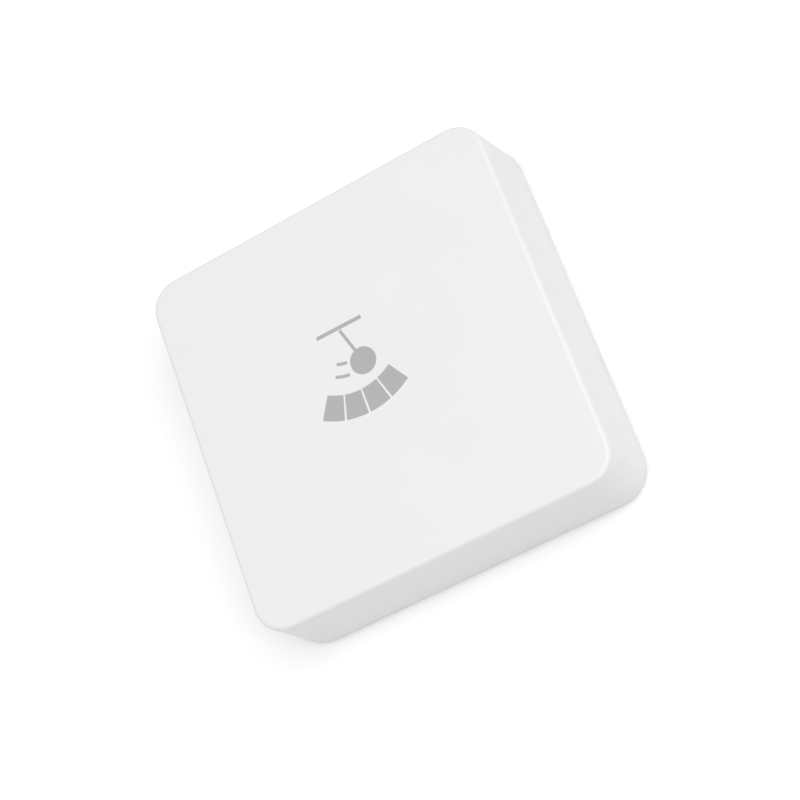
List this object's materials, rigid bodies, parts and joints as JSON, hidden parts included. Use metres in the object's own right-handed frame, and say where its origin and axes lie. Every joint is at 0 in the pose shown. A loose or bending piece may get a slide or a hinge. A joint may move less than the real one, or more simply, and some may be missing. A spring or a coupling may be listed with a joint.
{
  "type": "tilt sensor",
  "caption": "Square white battery tilt sensor for a garage door: a drafted cover clipped over a back plate that carries a coin cell, a ball tilt switch and a radio board.",
  "frame": {"origin": "middle of the adhesive face that the sensor rests on, flat on the floor or against the door", "axes": "+Z out of the front face, +Y the sensor's top when it is on a closed door, +X to its right"},
  "size_m": [0.05, 0.05, 0.013],
  "materials": {
    "front_cover": "fine satin moulding texture",
    "back_plate": "fine satin moulding texture",
    "adhesive_pad": "white closed-cell foam tape",
    "circuit_board": "green solder mask",
    "board_screws": "zinc plated",
    "battery_holder": "black moulded, satin",
    "battery_clip": "nickel-plated spring strip",
    "battery_leaf": "nickel-plated spring strip",
    "battery_can": "bright drawn steel",
    "battery_cap": "bright drawn steel",
    "battery_seal": "translucent moulded ring",
    "battery_fill": "pressed dark powder",
    "tilt_switch_can": "nickel plated",
    "tilt_switch_header": "black moulded",
    "tilt_switch_leads": "gold plated wire",
    "tilt_switch_cradle": "black moulded",
    "tilt_ball": "gold plated",
    "button_base": "black moulded",
    "button_plate": "tinned steel",
    "button_legs": "tinned",
    "button_dome": "bright spring steel",
    "button_plunger": "black moulded",
    "radio_chip": "black moulding compound",
    "crystal": "gold-tinted metal lid",
    "chip_capacitors": "tan ceramic with tinned ends",
    "chip_resistors": "black with tinned ends",
    "tantalum_capacitor": "yellow moulded case",
    "led_body": "white moulded case",
    "led_lens": "clear resin",
    "sheet_antenna": "tin-plated strip"
  },
  "bodies": {
    "base": {"back_plate": "back_plate", "adhesive_pad": "adhesive_pad", "circuit_board": "circuit_board", "board_screws": "board_screws", "battery_holder": "battery_holder", "battery_clip": "battery_clip", "battery_leaf": "battery_leaf", "battery_can": "battery_can", "battery_cap": "battery_cap", "battery_seal": "battery_seal", "battery_fill": "battery_fill", "tilt_switch_can": "tilt_switch_can", "tilt_switch_header": "tilt_switch_header", "tilt_switch_leads": "tilt_switch_leads", "tilt_switch_cradle": "tilt_switch_cradle", "button_base": "button_base", "button_plate": "button_plate", "button_legs": "button_legs", "button_dome": "button_dome", "radio_chip": "radio_chip", "crystal": "crystal", "chip_capacitors": "chip_capacitors", "chip_resistors": "chip_resistors", "tantalum_capacitor": "tantalum_capacitor", "led_body": "led_body", "led_lens": "led_lens", "sheet_antenna": "sheet_antenna"},
    "cover": {"front_cover": "front_cover"},
    "ball": {"tilt_ball": "tilt_ball"},
    "button": {"button_plunger": "button_plunger"}
  },
  "joints": [
    {"name": "cover_lift", "type": "slide", "parent": "base", "child": "cover", "axis": [0, 0, 1], "range_m": [0, 0.03]},
    {"name": "ball_roll", "type": "slide", "parent": "base", "child": "ball", "axis": [0, 0.9659, 0.2588], "range_m": [0, 0.00315]},
    {"name": "button_press", "type": "slide", "parent": "base", "child": "button", "axis": [0, 0, -1], "range_m": [0, 0.00025], "stiffness_N_per_m": 4000, "springref_m": -0.0001, "deforming": ["button_dome"]}
  ]
}
